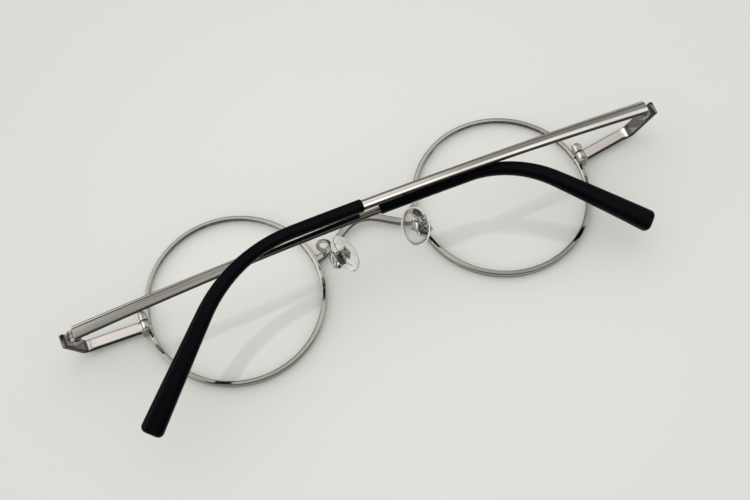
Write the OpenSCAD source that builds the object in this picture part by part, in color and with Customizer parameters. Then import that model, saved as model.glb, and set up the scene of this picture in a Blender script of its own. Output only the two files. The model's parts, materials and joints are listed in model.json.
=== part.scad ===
// Round metal eyeglasses, folded and lying on the front of their rims.
// X runs across the face, Y up the lenses and Z back toward the wearer.
// Lengths are in millimetres and angles in degrees.

/* [Lenses and rims] */
// Clear opening of each round rim
opening_d = 39.1; // [34:0.1:44]
// Distance between the two lens centres
lens_spacing = 66; // [62:0.5:72]
// Width of the rim wire, seen from the front
rim_w = 1.05; // [0.9:0.05:1.6]
// Depth of the rim wire from front to back
rim_depth = 1.75; // [1.6:0.05:2.4]
// Rounding of the edges of the rim wire
rim_round = 0.25; // [0.1:0.05:0.4]
// Depth of the groove that holds the lens
groove_depth = 0.5; // [0.3:0.05:0.6]
// Thickness of the lens at its edge
lens_t = 1.2; // [1:0.05:1.4]
// Radius of the gentle curve of both lens faces
lens_curve_r = 600; // [500:50:1500]
// Gap between the lens edge and its groove
lens_gap = 0.09; // [0.05:0.01:0.15]

/* [Bridge] */
// Height on the rims at which the bridge is soldered
bridge_foot_y = 1.7; // [0:0.1:4]
// Rise of the arch above its feet
bridge_rise = 5.3; // [3:0.1:8]
// Width of the bridge wire, seen from the front
bridge_w = 1.6; // [1.2:0.05:2]
// Thickness of the bridge wire
bridge_t = 1.2; // [1:0.05:1.4]
// How far the top of the arch stands behind its feet
bridge_back = 0.9; // [0:0.1:2]

/* [Closing blocks] */
// Height on the rim of the slit between the two block halves
block_y = 1.7; // [0:0.1:3]
// Overall height of both halves of a block
block_h = 4.3; // [3.8:0.1:5]
// Width of the slit in the rim and block
slit_w = 0.25; // [0.15:0.05:0.4]
// Outer diameter of the round barrel of a block
barrel_d = 1.9; // [1.7:0.05:2.2]
// Height of the barrel axis above the table
barrel_z = 3.6; // [3.2:0.1:4]
// Shank diameter of the closing screw
closing_screw_d = 1; // [0.8:0.05:1.1]
// Head diameter of the closing screw
closing_head_d = 1.7; // [1.5:0.05:1.8]

/* [Endpieces] */
// Thickness of the endpiece strip
strip_t = 1.15; // [0.9:0.05:1.25]
// Height of the endpiece strip
strip_h = 2.6; // [2.4:0.1:2.8]
// Height of the middle of the strip above the table
strip_z = 0.93; // [0.8:0.01:1]
// Height of the leg that stands up from the strip to the hinge
leg_h = 3; // [2.8:0.1:3.2]
// Radius of the tight bend between the strip and the leg
bend_r = 2.2; // [1.6:0.1:2.6]
// Angle of that bend
bend_a = 78; // [76:1:81]
// How far the middle of the leg sits below the middle of its hinge
leg_low = 0.15; // [0:0.05:0.3]

/* [Hinges] */
// Distance of each hinge axis from the middle of the frame
hinge_x = 67.7; // [66:0.1:70]
// Height of the hinge axes on the lenses, above the lens centres
hinge_y = 0.8; // [0:0.05:2]
// Height of the hinge axes above the table
hinge_z = 12.6; // [12:0.1:14]
// How much higher the right hinge sits than the left one, halved
hinge_skew_y = 0.5; // [-0.8:0.05:0.8]
// How much farther back the right hinge sits than the left one, halved
hinge_skew_z = 0.2; // [-0.4:0.1:0.4]
// Tilt of the temples against the square to the lenses
tilt = 10; // [0:0.5:12]
// Outer diameter of the hinge knuckles
knuckle_d = 2.6; // [2.4:0.1:2.7]
// Height of all three knuckles together
knuckle_h = 2.6; // [2.4:0.1:2.8]
// Gap between neighbouring knuckles
knuckle_gap = 0.08; // [0.05:0.01:0.12]
// Distance from the hinge axis to the inner face of the temple
leaf_reach = 1.9; // [1.8:0.05:2.1]
// Shank diameter of the hinge screw
hinge_screw_d = 1.1; // [0.9:0.05:1.2]
// Head diameter of the hinge screw
hinge_head_d = 1.7; // [1.5:0.05:2]
// Radial clearance of every screw in its bore
screw_play = 0.05; // [0.03:0.01:0.08]

/* [Temples] */
// Height of the metal bar at its hinge
bar_h1 = 2.95; // [2.6:0.05:3.1]
// Height of the metal bar beyond its taper
bar_h2 = 2.1; // [1.9:0.05:2.3]
// Length of the taper of the bar
taper_len = 45; // [30:1:60]
// Thickness of the metal bar
bar_t = 1.35; // [1.2:0.05:1.5]
// Radius of the slight bow of the bars
bow_r = 1350; // [1000:50:3000]
// Length of the left temple from its hinge to the start of the ear bend
bend_start_left = 91.8; // [80:0.1:95]
// Length of the right temple from its hinge to the start of the ear bend
bend_start_right = 85.7; // [80:0.1:95]
// Radius of the ear bend of the left temple
ear_bend_r_left = 25.4; // [22:0.1:36]
// Radius of the ear bend of the right temple
ear_bend_r_right = 33.3; // [22:0.1:36]
// Angle of the ear bend of the left temple
ear_drop_left = 45; // [35:0.2:50]
// Angle of the ear bend of the right temple
ear_drop_right = 44.2; // [35:0.2:50]
// Length of the whole left temple from its hinge to its end
temple_len_left = 134.8; // [132:0.1:142]
// Length of the whole right temple from its hinge to its end
temple_len_right = 137.4; // [132:0.1:142]
// Upward set of the left bar where it leaves its hinge
bar_rise_left = 2.7; // [-1:0.1:3]
// Upward set of the right bar where it leaves its hinge
bar_rise_right = 2.3; // [-1:0.1:3]
// Angle at which the folded left temple stands off the frame
fold_left = 0; // [0:0.1:1]
// Angle at which the folded right temple stands off the frame
fold_right = 3.9; // [3:0.1:6]

/* [Temple tips] */
// Length from the hinge to the mouth of the left tip
tip_start_left = 70.5; // [60:0.1:75]
// Length from the hinge to the mouth of the right tip
tip_start_right = 69.2; // [60:0.1:75]
// Length from the hinge at which the tips begin to swell
swell_start = 94; // [80:1:105]
// Width of the tip at its mouth
tip_w1 = 2.8; // [2.7:0.05:3.2]
// Width of the tip at its end
tip_w2 = 4.9; // [4:0.1:5.4]
// Thickness of the tip at its mouth
tip_t1 = 2.3; // [2.1:0.1:2.6]
// Thickness of the tip at its end
tip_t2 = 3.2; // [2.8:0.1:3.4]
// Rounding of the mouth of the tip
mouth_round = 0.4; // [0.2:0.05:0.4]
// Rounding of the blunt end of the tip
end_round = 1.3; // [0.8:0.1:1.3]
// Inward sag of the tip's end toward the ear
tip_sag = 2.9; // [0:0.1:4]
// Width of the metal core inside the tip
core_w = 1.5; // [1.2:0.1:1.7]
// Thickness of the metal core inside the tip
core_t = 1; // [0.8:0.05:1.1]
// Length of the tip beyond the end of the core
core_short = 7; // [5:1:12]
// Gap between the core and the tip
core_gap = 0.05; // [0.03:0.01:0.1]

/* [Nose pads] */
// Distance of each pad's middle from the middle of the frame
pad_x = 8; // [7.8:0.1:9]
// Height of the pads' middle, below the lens centres
pad_drop = 6; // [5:0.1:7]
// Height of the pads' middle above the table
pad_z = 15.8; // [14.6:0.1:16.4]
// Angle between the pad faces and the plane of the lenses
pad_splay = 50; // [45:1:55]
// Length of a pad
pad_len = 8.8; // [8:0.1:9.6]
// Width of a pad
pad_w = 7.7; // [6.8:0.1:8]
// Thickness of a pad
pad_t = 2; // [1.9:0.1:2.4]
// Diameter of the wire of a pad arm
arm_d = 0.9; // [0.8:0.05:1]
// Length of the small box that holds a pad
box_len = 3.2; // [2.8:0.1:3.6]
// Width of the small box that holds a pad
box_w = 2.3; // [2.1:0.1:2.6]
// Shank diameter of the pad screw
pad_screw_d = 0.8; // [0.7:0.05:0.9]
// Width of the diamond-shaped plate inside a pad
plate_w = 2.4; // [2:0.1:3]
// Length of the diamond-shaped plate inside a pad
plate_len = 3.2; // [2.4:0.1:4]

/* [Hidden] */
LEFT = -1;
RIGHT = 1;
smooth = 96;
fine = 48;
corner_n = 4;
tiny = 0.01;

// Rims and lenses
lens_x = lens_spacing / 2;
rim_in = opening_d / 2;
rim_out = rim_in + rim_w;
groove_z = rim_depth / 2 + 0.075;
groove_half = lens_t / 2;
lens_r = rim_in - lens_gap;

// Closing blocks
barrel_x = lens_x + rim_out;
block_out = barrel_x + 1.45;
block_relief = 0.15;
block_in = barrel_x - 0.6;
block_z0 = 0.3;

// Endpieces and hinges
bar_start = 0.3;
end_gap = 0.1;
butt_z = bar_start - end_gap;
leaf_top = -0.1;
cut_half = strip_t / 2 / sin(bend_a);
strip_round = 0.3;
bend_n = 10;
knuckle_mid = knuckle_h / 3;
bore_d = hinge_screw_d + 2 * screw_play;
leaf_t = 0.4;
leaf_len = 3.2;
web_in = bar_start + 0.1;
web_out = knuckle_d / 2 + 0.1;
plate_inset = 0.2;
head_h = 0.3;
slot_w = 0.2;
slot_d = 0.12;

// Temples and tips
bar_round = 0.3;
bar_end_round = 0.35;
core_round = 0.3;
swell_power = 1.2;

// Nose pads
core_plate_t = 0.5;
tab_w = 0.8;
tab_len = 1.8;
pad_pivot_z = -pad_t / 2 - 1.3;
box_wall_z = pad_pivot_z - tab_len / 2 - 0.1;
box_back_z = box_wall_z - 0.4;
box_front_z = pad_pivot_z + 0.75;
slot_play = 0.1;
// The pad arm: its root on the back of the bridge, the points that it passes
// from there, and those that lead to its end on the pad box
arm_in = 1.9;
arm_up = 0.5;
arm_root_z = 1.3;
arm_root = [rim_out + arm_in - lens_x, bridge_foot_y + arm_up, arm_root_z];
arm_rise = [[0.2, -0.1, 1.7], [-0.21, -0.48, 2.9], [-1.16, -0.45, 4.7], [-1.41, -0.29, 6.7]];
arm_fall = [[-0.6, 6.05, -4.05], [0.25, 5.35, -3.05], [0.85, 4.22, -2.25],
    [0.7, 2.61, -1.55], [0.46, 1.25, -0.75]];

// Values that differ between the two temples, which are bent one by one
function pick(side, left, right) = side == LEFT ? left : right;
function bend_start(side) = pick(side, bend_start_left, bend_start_right);
function ear_bend_r(side) = pick(side, ear_bend_r_left, ear_bend_r_right);
function ear_drop(side) = pick(side, ear_drop_left, ear_drop_right);
function temple_len(side) = pick(side, temple_len_left, temple_len_right);
function tip_start(side) = pick(side, tip_start_left, tip_start_right);
function bar_rise(side) = pick(side, bar_rise_left, bar_rise_right);
function fold(side) = pick(side, fold_left, fold_right);
function core_end(side) = temple_len(side) - core_short;

// A temple's centre line is a slight bow, the ear bend and a straight end.
// Position and direction at the length t from the hinge: along the temple,
// up the bar, and out from the head.
function past_bend(side, t) = max(0, t - bend_start(side));
function bow_turn(side, t) = min(t, bend_start(side)) / bow_r * 180 / PI;
function ear_turn(side, t) = min(past_bend(side, t) / ear_bend_r(side) * 180 / PI, ear_drop(side));
function past_ear(side, t) = max(0, past_bend(side, t) - ear_bend_r(side) * ear_drop(side) * PI / 180);
function sag_rate(side) = tip_sag / pow(temple_len(side) - bend_start(side), 2);
function temple_point(side, t) =
    let (bow = bow_turn(side, t), turn = bow + ear_turn(side, t), rest = past_ear(side, t),
         r = ear_bend_r(side))
    [bow_r * sin(bow) + r * (sin(turn) - sin(bow)) + rest * cos(turn),
     -bow_r * (1 - cos(bow)) - r * (cos(bow) - cos(turn)) - rest * sin(turn),
     leaf_reach + bar_t / 2 - sag_rate(side) * pow(past_bend(side, t), 2)];
function temple_dir(side, t) =
    let (turn = bow_turn(side, t) + ear_turn(side, t))
    unit([cos(turn), -sin(turn), -2 * sag_rate(side) * past_bend(side, t)]);

// A tip's half width or thickness at the length t, from its size at the mouth
// and at the end, and how far its rounded mouth and end lie inside that
function tip_half(side, t, size1, size2) =
    let (share = (t - swell_start) / (temple_len(side) - swell_start))
    (size1 + (size2 - size1) * pow(min(max(share, 0), 1), swell_power)) / 2;
function round_in(d, r) = let (c = min(max(1 - d / r, 0), 1)) r * (1 - sqrt(1 - c * c));
function tip_inset(side, t) =
    round_in(t - tip_start(side), mouth_round) + round_in(temple_len(side) - t, end_round);
function tip_ring(side, t) =
    let (inset = tip_inset(side, t),
         half_t = tip_half(side, t, tip_t1, tip_t2) - inset,
         half_w = tip_half(side, t, tip_w1, tip_w2) - inset)
    ring(temple_point(side, t), temple_dir(side, t), [0, 0, 1], half_t, half_w, 0.8 * min(half_t, half_w));

// The hinge frame: X along the folded temple, Y along the hinge axis and
// Z out of the frame along the open temple
function hinge_at(side) =
    [-hinge_x, hinge_y + side * hinge_skew_y, hinge_z + side * hinge_skew_z];
function from_hinge(v) = [v[0], v[1] * cos(tilt) - v[2] * sin(tilt), v[1] * sin(tilt) + v[2] * cos(tilt)];

// The Y origin is the middle of the whole outline, from the top of the rims
// to the end of the right tip, so the lens line lies this far above it.
function set_height(side, p) =
    let (x = p[0] * cos(bar_rise(side)) - p[1] * sin(bar_rise(side)),
         y = p[0] * sin(bar_rise(side)) + p[1] * cos(bar_rise(side)))
    (hinge_at(side) + from_hinge([x, y, x * sin(fold(side)) + p[2] * cos(fold(side))]))[1];
tip_low = min([for (d = [0:0.1:4], p = tip_ring(RIGHT, temple_len(RIGHT) - d)) set_height(RIGHT, p)]);
centre_y = -(rim_out + tip_low) / 2;

function unit(v) = v / norm(v);
function ease(x) = let (c = min(max(x, 0), 1)) c * c * (3 - 2 * c);

// One ring of a swept bar: a rounded rectangle around point p, square to
// the direction t. half_u is its half size along up, half_s across it.
function ring(p, t, up, half_u, half_s, r, n = corner_n) =
    let (side = unit(cross(t, up)), u = cross(side, t))
    [for (q = [0:3], k = [0:n])
        let (a = 90 * q + 90 * k / n,
            su = q == 0 || q == 3 ? 1 : -1,
            ss = q < 2 ? 1 : -1)
        p + u * (su * (half_u - r) + r * cos(a)) + side * (ss * (half_s - r) + r * sin(a))];

// Points of a smooth curve through hand-placed points
function spline_point(p, i, f) =
    let (a = p[max(i - 1, 0)], b = p[i], c = p[i + 1], d = p[min(i + 2, len(p) - 1)])
    0.5 * (2 * b + (c - a) * f + (2 * a - 5 * b + 4 * c - d) * f * f
        + (3 * b - a - 3 * c + d) * f * f * f);
function spline(p, n) =
    [for (i = [0:len(p) - 2], k = [0:n - 1]) spline_point(p, i, k / n), p[len(p) - 1]];
function path_dir(p, i, first, last) =
    i == 0 ? first : i == len(p) - 1 ? last : unit(p[i + 1] - p[i - 1]);

// A solid skin over a list of rings with equal numbers of points
module skin(rings) {
    m = len(rings[0]);
    n = len(rings);
    polyhedron(
        points = [for (r = rings) each r],
        faces = [
            [for (j = [0:m - 1]) j],
            [for (j = [0:m - 1]) n * m - 1 - j],
            for (i = [0:n - 2], j = [0:m - 1], h = [0:1])
                let (a = i * m + j, b = i * m + (j + 1) % m)
                h == 0 ? [a, a + m, b + m] : [a, b + m, b]
        ],
        convexity = 8);
}

module rounded_rect(w, h, r) {
    square([w - 2 * r, h], center = true);
    square([w, h - 2 * r], center = true);
    for (x = [-1, 1], y = [-1, 1])
        translate([x * (w / 2 - r), y * (h / 2 - r)]) circle(r, $fn = fine);
}

// Places a child built for the left side, or its mirror on the right
module on_side(side) {
    translate([0, centre_y, 0]) mirror([side > 0 ? 1 : 0, 0, 0]) children();
}

module at_lens(side) {
    on_side(side) translate([-lens_x, 0, 0]) children();
}

module groove(shift) {
    polygon([
        [rim_in - shift - 1, groove_z - groove_half],
        [rim_in - shift, groove_z - groove_half],
        [rim_in - shift + groove_depth, groove_z],
        [rim_in - shift, groove_z + groove_half],
        [rim_in - shift - 1, groove_z + groove_half]]);
}

module rim(side) {
    color("silver") at_lens(side) difference() {
        rotate_extrude($fn = smooth) difference() {
            translate([rim_in + rim_w / 2, rim_depth / 2])
                rounded_rect(rim_w, rim_depth, rim_round);
            groove(0);
        }
        translate([-rim_out - 1, block_y - slit_w / 2, -1])
            cube([rim_w + 3, slit_w, rim_depth + 2]);
    }
}

module lens(side) {
    sink = lens_r * lens_r / (2 * lens_curve_r);
    front_z = groove_z - groove_half - sink;
    color([0.86, 0.9, 0.9, 0.35]) at_lens(side) rotate_extrude($fn = smooth) difference() {
        intersection() {
            translate([0, front_z + lens_curve_r]) circle(lens_curve_r, $fn = 3600);
            polygon([
                [0, front_z - 1], [lens_r, front_z - 1],
                [lens_r, groove_z - groove_half],
                [lens_r + groove_depth, groove_z],
                [lens_r, groove_z + groove_half],
                [0, groove_z + groove_half]]);
        }
        translate([0, front_z + lens_t + lens_curve_r]) circle(lens_curve_r, $fn = 3600);
    }
}

// The bridge: an arch whose line is one wave of a cosine
module bridge_bar() {
    foot = lens_x - rim_in - rim_w / 2;
    steps = 36;
    z0 = rim_depth / 2;
    arch = [for (i = [0:steps])
        let (x = -foot + 2 * foot * i / steps, c = (1 + cos(180 * x / foot)) / 2)
        [x, bridge_foot_y + bridge_rise * c, z0 + bridge_back * c]];
    rings = [for (i = [0:steps])
        ring(arch[i], path_dir(arch, i, [1, 0, 0], [1, 0, 0]), [0, 0, 1],
            bridge_t / 2, bridge_w / 2, 0.35)];
    skin(rings);
}

module bridge() {
    color("silver") translate([0, centre_y, 0]) difference() {
        bridge_bar();
        for (side = [LEFT, RIGHT])
            translate([side * lens_x, 0, -1])
                cylinder(r = rim_out, h = rim_depth + bridge_back + bridge_t + 1, $fn = smooth);
    }
}

// One half of a closing block: a barrel behind the rim on a foot that is
// soldered to the rim's edge. The upper half also carries the endpiece.
module block_half(side, y0, h, out) {
    on_side(side) difference() {
        union() {
            translate([-barrel_x, y0, barrel_z]) rotate([-90, 0, 0])
                cylinder(d = barrel_d, h = h, $fn = fine);
            translate([-out, y0, block_z0]) cube([out - block_in, h, barrel_z - block_z0]);
        }
        translate([-lens_x, 0, -1]) cylinder(r = rim_out, h = rim_depth + 1, $fn = smooth);
        translate([-barrel_x, y0 - 1, barrel_z]) rotate([-90, 0, 0])
            cylinder(d = closing_screw_d + 2 * screw_play, h = h + 2, $fn = fine);
    }
}

half_h = (block_h - slit_w) / 2;

module closing_block_upper(side) {
    color("silver") block_half(side, block_y + slit_w / 2, half_h, block_out);
}

module closing_block_lower(side) {
    color("silver") block_half(side, block_y - slit_w / 2 - half_h, half_h, block_out - block_relief);
}

// A screw along +Z with its head below the origin and a slot across it
module screw(d, length, head_d) {
    difference() {
        union() {
            translate([0, 0, -tiny]) cylinder(d = d, h = length + tiny, $fn = fine);
            translate([0, 0, -head_h]) cylinder(d = head_d, h = head_h, $fn = fine);
        }
        translate([-head_d, -slot_w / 2, -head_h - 1]) cube([2 * head_d, slot_w, 1 + slot_d]);
    }
}

module closing_screw(side) {
    color("gray") on_side(side)
        translate([-barrel_x, block_y - block_h / 2, barrel_z])
            rotate([-90, 0, 0]) screw(closing_screw_d, block_h, closing_head_d);
}

// The endpiece's centre line on the left side: along the strip from the
// block, round the tight bend, and straight up to the hinge. The bend and the
// leg lie square to the hinge axis.
function bend_step(a) = bend_r * from_hinge([-sin(a), 0, 1 - cos(a)]);
leg_dir = from_hinge([-cos(bend_a), 0, sin(bend_a)]);
function endpiece_path(side) =
    let (top = hinge_at(side) + from_hinge([-leaf_reach - cut_half, -leg_low, butt_z]),
         rise = (top[2] - strip_z) / cos(tilt) - bend_r * (1 - cos(bend_a)),
         start = top - rise / sin(bend_a) * leg_dir - bend_step(bend_a))
    concat(
        [[-block_out, block_y, strip_z]],
        [for (k = [0:bend_n]) start + bend_step(bend_a * k / bend_n)],
        [top]);

module endpiece(side) {
    path = endpiece_path(side);
    last = len(path) - 1;
    up = from_hinge([0, 1, 0]);
    color("silver") on_side(side) skin([for (i = [0:last])
        let (lean = i == last ? 1 : ease((i - 1) / bend_n),
            dir = i == last ? from_hinge([0, 0, 1]) : i == last - 1 ? leg_dir
                : path_dir(path, i, [-1, 0, 0], leg_dir))
        ring(path[i], dir, (1 - lean) * [0, 1, 0] + lean * up,
            (strip_h + (leg_h - strip_h) * lean) / 2, i == last ? cut_half : strip_t / 2, strip_round, 3)]);
}

module at_hinge(side) {
    on_side(side) translate(hinge_at(side)) rotate([tilt, 0, 0]) children();
}

module at_temple(side) {
    at_hinge(side) rotate([0, -fold(side), 0]) children();
}

// A flat shape drawn in the hinge frame's X and Z, from height y0 to y1
module hinge_slab(y0, y1) {
    translate([0, y1, 0]) rotate([90, 0, 0]) linear_extrude(y1 - y0) children();
}

module hinge_cylinder(d, y0, y1) {
    translate([0, y0, 0]) rotate([-90, 0, 0]) cylinder(d = d, h = y1 - y0, $fn = fine);
}

// The front leaf: a plate on the inner face of the endpiece's leg, with a
// short web to each of its two knuckles
module hinge_front_leaf(side) {
    y0 = knuckle_mid / 2 + knuckle_gap / 2;
    y1 = knuckle_h / 2;
    down = [cos(bend_a), -sin(bend_a)];
    inward = [sin(bend_a), cos(bend_a)];
    outer = [-leaf_reach + (butt_z - leaf_top) / tan(bend_a), leaf_top];
    inner = outer + [leaf_t / sin(bend_a), 0];
    low = -knuckle_d / 2;
    color("silver") at_hinge(side) difference() {
        union() {
            for (from = [y0, -y1]) {
                hinge_cylinder(knuckle_d, from, from + y1 - y0);
                hinge_slab(from, from + y1 - y0) polygon([
                    inner - [leaf_t / 2, 0], [0, leaf_top], [0, low],
                    [inner[0] + (leaf_top - low) / tan(bend_a) - leaf_t / 2, low]]);
            }
            hinge_slab(-y1, y1) polygon([
                outer, inner, outer + leaf_len * down + leaf_t * inward, outer + leaf_len * down]);
        }
        hinge_cylinder(bore_d, -knuckle_h, knuckle_h);
    }
}

module hinge_temple_leaf(side) {
    y1 = knuckle_mid / 2 - knuckle_gap / 2;
    plate = knuckle_h - plate_inset;
    color("silver") at_temple(side) difference() {
        union() {
            hinge_cylinder(knuckle_d, -y1, y1);
            translate([web_in, -y1, 0]) cube([web_out - web_in, 2 * y1, leaf_reach]);
            translate([web_out - leaf_t, -plate / 2, leaf_reach - leaf_t])
                cube([leaf_len - web_out + leaf_t, plate, leaf_t]);
        }
        hinge_cylinder(bore_d, -knuckle_h, knuckle_h);
    }
}

module hinge_screw(side) {
    color("gray") at_hinge(side) translate([0, -knuckle_h / 2, 0])
        rotate([-90, 0, 0]) screw(hinge_screw_d, knuckle_h, hinge_head_d);
}

// The metal core of a temple inside its tip, grown by a gap
module core_skin(side, from, to, gap) {
    steps = 26;
    skin([for (i = [0:steps])
        let (t = from + (to - from) * i / steps)
        ring(temple_point(side, t), temple_dir(side, t), [0, 0, 1],
            core_t / 2 + gap, core_w / 2 + gap, core_round, 2)]);
}

// The bar's half height at the length t: a taper, with a round end by the hinge
function bar_half(t) =
    let (full = (bar_h1 + (bar_h2 - bar_h1) * min(max(t / taper_len, 0), 1)) / 2,
         c = max(0, 1 - (t - bar_start) / bar_end_round))
    full - bar_end_round * (1 - sqrt(1 - c * c));

module temple(side) {
    steps = 12;
    from = bar_start + bar_end_round;
    stations = concat(
        [for (a = [0:22.5:67.5]) bar_start + bar_end_round * (1 - cos(a))],
        [for (i = [0:steps]) from + (tip_start(side) - from) * i / steps]);
    color("silver") at_temple(side) rotate([0, 0, bar_rise(side)]) union() {
        skin([for (t = stations)
            ring(temple_point(side, t), temple_dir(side, t), [0, 0, 1],
                bar_t / 2, bar_half(t), min(bar_round, 0.8 * bar_half(t)))]);
        core_skin(side, tip_start(side) - 1, core_end(side), 0);
    }
}

module temple_tip(side) {
    steps = 26;
    from = tip_start(side);
    to = temple_len(side);
    stations = concat(
        [for (a = [0:22.5:67.5]) from + mouth_round * (1 - cos(a))],
        [for (i = [0:steps]) from + mouth_round + (to - end_round - from - mouth_round) * i / steps],
        [for (a = [15:15:75]) to - end_round * (1 - sin(a))],
        [to]);
    color([0.06, 0.06, 0.07]) at_temple(side) rotate([0, 0, bar_rise(side)]) difference() {
        skin([for (t = stations) tip_ring(side, t)]);
        core_skin(side, from - 1, core_end(side) + core_gap, core_gap);
    }
}

// The pad frame: Y up the pad and Z out of its face toward the nose
module at_pad(side) {
    on_side(side) translate([-pad_x, -pad_drop, pad_z]) rotate([0, pad_splay, 0]) children();
}

module pad_core_shape() {
    top = -pad_t / 2 + 0.4 + core_plate_t;
    translate([0, 0, top - core_plate_t]) linear_extrude(core_plate_t)
        polygon([[-plate_w / 2, 0], [0, -plate_len / 2], [plate_w / 2, 0], [0, plate_len / 2]]);
    translate([-tab_w / 2, -tab_len / 2, pad_pivot_z])
        cube([tab_w, tab_len, top - core_plate_t - pad_pivot_z + tiny]);
}

module pad_core(side) {
    color("silver") at_pad(side) difference() {
        union() {
            pad_core_shape();
            translate([-tab_w / 2, 0, pad_pivot_z]) rotate([0, 90, 0])
                cylinder(d = tab_len, h = tab_w, $fn = fine);
        }
        translate([-tab_w, 0, pad_pivot_z]) rotate([0, 90, 0])
            cylinder(d = pad_screw_d + 2 * screw_play, h = 2 * tab_w, $fn = fine);
    }
}

module nose_pad(side) {
    n = 40;
    profile = [[-1, 0.8], [-0.92, 0.9], [-0.7, 0.97], [-0.35, 1], [0, 0.985], [0.35, 0.93],
        [0.62, 0.82], [0.82, 0.66], [0.94, 0.45], [1, 0.2]];
    color([0.9, 0.9, 0.88, 0.6]) at_pad(side) difference() {
        skin([for (s = profile) [for (j = [0:n - 1])
            let (a = 360 * j / n)
            [s[1] * pad_w / 2 * cos(a), s[1] * pad_len / 2 * sin(a), s[0] * pad_t / 2]]]);
        pad_core_shape();
    }
}

module pad_box(side) {
    color("silver") at_pad(side) difference() {
        translate([-box_w / 2, -box_len / 2, box_back_z])
            cube([box_w, box_len, box_front_z - box_back_z]);
        translate([-tab_w / 2 - slot_play, -box_len, box_wall_z])
            cube([tab_w + 2 * slot_play, 2 * box_len, box_front_z - box_wall_z + 1]);
        translate([-box_w, 0, pad_pivot_z]) rotate([0, 90, 0])
            cylinder(d = pad_screw_d + 2 * screw_play, h = 2 * box_w, $fn = fine);
    }
}

module pad_screw(side) {
    color("gray") at_pad(side) translate([-box_w / 2, 0, pad_pivot_z])
        rotate([0, 90, 0]) screw(pad_screw_d, box_w, 1.4);
}

// The pad arm: a wire that stands on the back of the bridge beside the rim,
// bows outward and comes down on the end of the pad box
module pad_arm(side) {
    back = (box_back_z + box_wall_z) / 2;
    over = [-pad_x + back * sin(pad_splay), box_len / 2 - pad_drop, pad_z + back * cos(pad_splay)];
    path = spline(concat(
        [arm_root], [for (v = arm_rise) arm_root + v], [for (v = arm_fall) over + v], [over]), 5);
    color("silver") on_side(side) difference() {
        skin([for (i = [0:len(path) - 1])
            ring(path[i], path_dir(path, i, [0, 0, 1], [0, -1, 0]), [1, 0.2, 0.1],
                arm_d / 2, arm_d / 2, arm_d / 2 - tiny, 2)]);
        bridge_bar();
    }
}

rim(LEFT);  // rim_left
rim(RIGHT);  // rim_right
lens(LEFT);  // lens_left
lens(RIGHT);  // lens_right
bridge();
closing_block_upper(LEFT);  // closing_block_upper_left
closing_block_upper(RIGHT);  // closing_block_upper_right
closing_block_lower(LEFT);  // closing_block_lower_left
closing_block_lower(RIGHT);  // closing_block_lower_right
closing_screw(LEFT);  // closing_screw_left
closing_screw(RIGHT);  // closing_screw_right
endpiece(LEFT);  // endpiece_left
endpiece(RIGHT);  // endpiece_right
hinge_front_leaf(LEFT);  // hinge_front_leaf_left
hinge_front_leaf(RIGHT);  // hinge_front_leaf_right
hinge_temple_leaf(LEFT);  // hinge_temple_leaf_left
hinge_temple_leaf(RIGHT);  // hinge_temple_leaf_right
hinge_screw(LEFT);  // hinge_screw_left
hinge_screw(RIGHT);  // hinge_screw_right
temple(LEFT);  // temple_left
temple(RIGHT);  // temple_right
temple_tip(LEFT);  // temple_tip_left
temple_tip(RIGHT);  // temple_tip_right
pad_arm(LEFT);  // pad_arm_left
pad_arm(RIGHT);  // pad_arm_right
pad_box(LEFT);  // pad_box_left
pad_box(RIGHT);  // pad_box_right
pad_screw(LEFT);  // pad_screw_left
pad_screw(RIGHT);  // pad_screw_right
pad_core(LEFT);  // pad_core_left
pad_core(RIGHT);  // pad_core_right
nose_pad(LEFT);  // nose_pad_left
nose_pad(RIGHT);  // nose_pad_right
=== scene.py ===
# Round metal eyeglasses, folded and lying on the front of their rims.
import json
import math

import bmesh
import bpy
from mathutils import Matrix, Vector


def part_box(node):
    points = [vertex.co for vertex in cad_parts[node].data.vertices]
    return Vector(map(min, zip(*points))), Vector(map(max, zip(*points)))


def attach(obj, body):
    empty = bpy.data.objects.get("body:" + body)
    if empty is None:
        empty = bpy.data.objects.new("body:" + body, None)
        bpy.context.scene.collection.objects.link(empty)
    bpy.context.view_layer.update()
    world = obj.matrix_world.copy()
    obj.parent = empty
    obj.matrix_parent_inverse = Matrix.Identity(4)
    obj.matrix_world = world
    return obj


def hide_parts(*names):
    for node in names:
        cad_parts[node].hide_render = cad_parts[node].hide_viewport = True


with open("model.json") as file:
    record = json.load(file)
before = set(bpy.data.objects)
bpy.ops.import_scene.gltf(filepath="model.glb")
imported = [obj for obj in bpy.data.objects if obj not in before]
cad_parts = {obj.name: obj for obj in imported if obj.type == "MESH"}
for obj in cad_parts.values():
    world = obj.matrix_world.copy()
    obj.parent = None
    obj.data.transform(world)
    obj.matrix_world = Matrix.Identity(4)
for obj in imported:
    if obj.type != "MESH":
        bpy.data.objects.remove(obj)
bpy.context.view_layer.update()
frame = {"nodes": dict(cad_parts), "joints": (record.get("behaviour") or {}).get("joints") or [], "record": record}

# The table and the light
# A pale matt table top under an even dome of light, a little stronger from
# the upper left. Metal reflects a room with lamps, a window and dark walls.
table_half = 2.5
table_low = -0.00004
table_colour = (0.80, 0.812, 0.772)
table_mottle = 0.985
# Painted pool of light: the table's colour is lighter near the glasses and darker further out.
painted_pool_edges = (0.01, 0.13)
painted_pool_levels = (1.03, 0.94)
room_colour = (0.73, 0.73, 0.69, 1)
light_colour = (1, 0.995, 0.985, 1)
dome_heading = (-0.25, 0.55, 0.80)
dome_levels = (0.6, 1.21)
room_away = (-0.45, 0.4, 0.1, 1.25)
room_up = (0.05, 0.5, 0.06, 1.0)
room_rightward = (0.0, 0.8, 1.0, 0.65)
room_end = (0.5, 0.75, 1.0, 0.25)
dark_wall_away = ((-0.08, 0.05), (0.29, 0.38))
dark_wall_up = (0.6, 0.8)
dark_wall_level = 0.52
window_rightward = (0.05, 0.3)
window_away = ((-0.14, -0.08), (0.03, 0.07))
window_up = (0.5, 0.7)
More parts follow.
